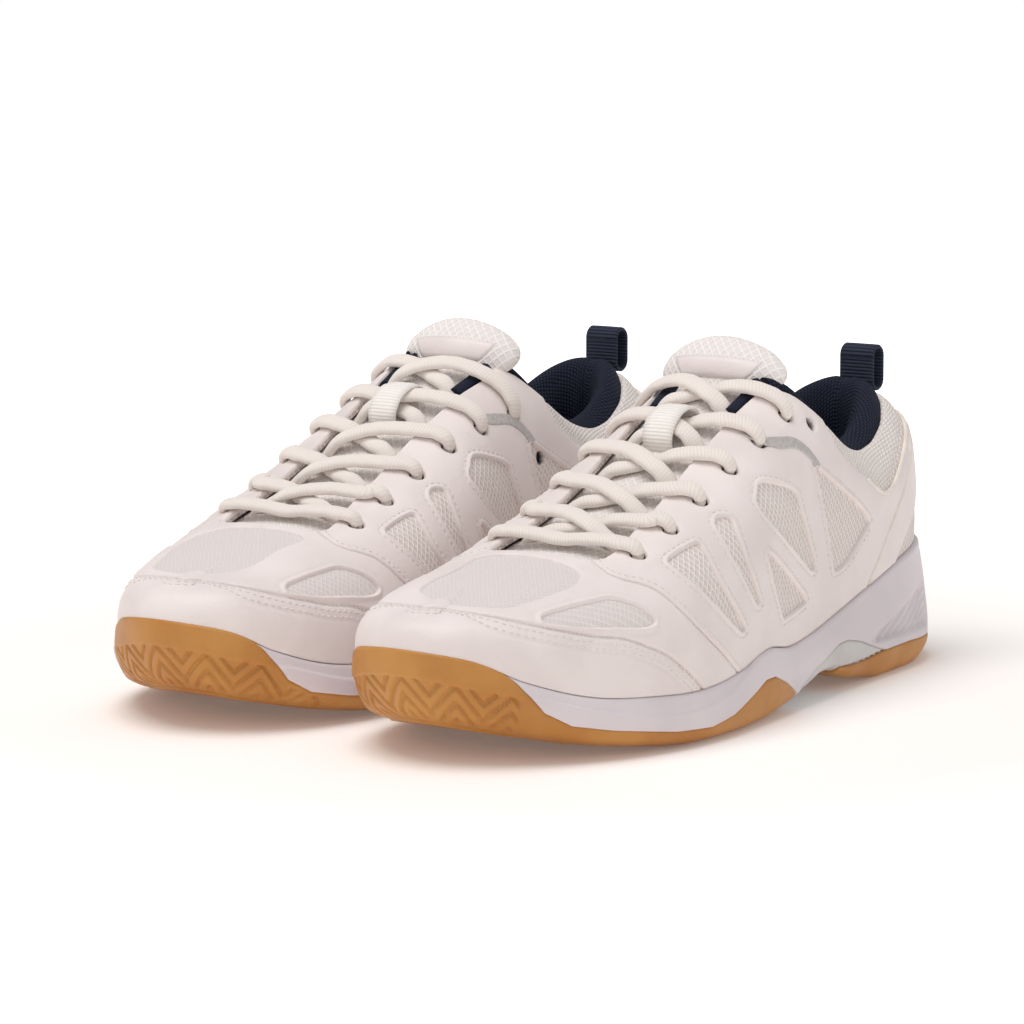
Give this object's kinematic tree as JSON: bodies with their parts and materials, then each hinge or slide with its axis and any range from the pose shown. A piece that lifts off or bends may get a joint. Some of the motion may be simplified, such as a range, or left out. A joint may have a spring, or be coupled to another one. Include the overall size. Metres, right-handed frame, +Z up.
{
  "type": "cheer shoes",
  "caption": "Pair of low-cut lace-up cheer shoes with a padded collar, mesh and synthetic leather upper, foam midsole and gum rubber outsole.",
  "frame": {"origin": "on the floor, below the middle of the pair's bounding box", "axes": "+Z up, -Y towards the toes, +X towards the outside of the wearer's left shoe"},
  "size_m": [0.2208, 0.2904, 0.1227],
  "materials": {
    "gum_rubber": "translucent amber gum rubber, fine texture, satin",
    "midsole_foam": "painted white moulded EVA foam, satin",
    "grey_plastic": "pale grey moulded plastic, satin",
    "stiffener": "pressed fibre board, matt",
    "navy_textile": "navy waffle mesh over foam, matt",
    "white_mesh": "white sandwich mesh, matt",
    "synthetic_leather": "white fine grained synthetic leather, satin",
    "silver_trim": "silver grey film",
    "navy_webbing": "navy ribbed grosgrain webbing",
    "white_webbing": "white ribbed webbing",
    "lace_cord": "cream white flat oval woven lace",
    "clear_plastic": "clear shrunk film"
  },
  "bodies": {
    "left_shoe": {"left_outsole_forefoot": "gum_rubber", "left_outsole_heel": "gum_rubber", "left_midsole": "midsole_foam", "left_shank_plate": "grey_plastic", "left_insole_board": "stiffener", "left_sockliner": "navy_textile", "left_mesh_upper": "white_mesh", "left_toe_cap": "synthetic_leather", "left_toe_puff": "stiffener", "left_vamp_overlay": "synthetic_leather", "left_lateral_quarter": "synthetic_leather", "left_medial_quarter": "synthetic_leather", "left_heel_overlay": "synthetic_leather", "left_heel_counter": "stiffener", "left_collar_padding": "navy_textile", "left_lateral_strip": "silver_trim", "left_medial_strip": "silver_trim", "left_lateral_throat_binding": "navy_textile", "left_medial_throat_binding": "navy_textile", "left_tongue_body": "white_mesh", "left_lace_keeper": "white_webbing", "left_lace": "lace_cord", "left_lateral_aglet": "clear_plastic", "left_medial_aglet": "clear_plastic"},
    "left_tongue_flap": {"left_tongue_top": "white_mesh"},
    "left_heel_loop": {"left_heel_pull_loop": "navy_webbing"},
    "right_shoe": {"right_outsole_forefoot": "gum_rubber", "right_outsole_heel": "gum_rubber", "right_midsole": "midsole_foam", "right_shank_plate": "grey_plastic", "right_insole_board": "stiffener", "right_sockliner": "navy_textile", "right_mesh_upper": "white_mesh", "right_toe_cap": "synthetic_leather", "right_toe_puff": "stiffener", "right_vamp_overlay": "synthetic_leather", "right_lateral_quarter": "synthetic_leather", "right_medial_quarter": "synthetic_leather", "right_heel_overlay": "synthetic_leather", "right_heel_counter": "stiffener", "right_collar_padding": "navy_textile", "right_lateral_strip": "silver_trim", "right_medial_strip": "silver_trim", "right_lateral_throat_binding": "navy_textile", "right_medial_throat_binding": "navy_textile", "right_tongue_body": "white_mesh", "right_lace_keeper": "white_webbing", "right_lace": "lace_cord", "right_lateral_aglet": "clear_plastic", "right_medial_aglet": "clear_plastic"},
    "right_tongue_flap": {"right_tongue_top": "white_mesh"},
    "right_heel_loop": {"right_heel_pull_loop": "navy_webbing"}
  },
  "joints": [
    {"name": "right_shoe_lift", "type": "slide", "parent": "left_shoe", "child": "right_shoe", "axis": [0, 0, 1], "range_m": [0, 0.15]},
    {"name": "left_tongue_bend", "type": "hinge", "parent": "left_shoe", "child": "left_tongue_flap", "pos_m": [0.056, 0.02988, 0.106], "axis": [1, 0, 0], "range_deg": [-20, 40], "stiffness_Nm_per_rad": 0.05},
    {"name": "left_loop_fold", "type": "hinge", "parent": "left_shoe", "child": "left_heel_loop", "pos_m": [0.056, 0.13188, 0.1031], "axis": [1, 0, 0], "range_deg": [-60, 60], "stiffness_Nm_per_rad": 0.01},
    {"name": "right_tongue_bend", "type": "hinge", "parent": "right_shoe", "child": "right_tongue_flap", "pos_m": [-0.056, 0.02988, 0.106], "axis": [1, 0, 0], "range_deg": [-20, 40], "stiffness_Nm_per_rad": 0.05},
    {"name": "right_loop_fold", "type": "hinge", "parent": "right_shoe", "child": "right_heel_loop", "pos_m": [-0.056, 0.13188, 0.1031], "axis": [1, 0, 0], "range_deg": [-60, 60], "stiffness_Nm_per_rad": 0.01}
  ]
}
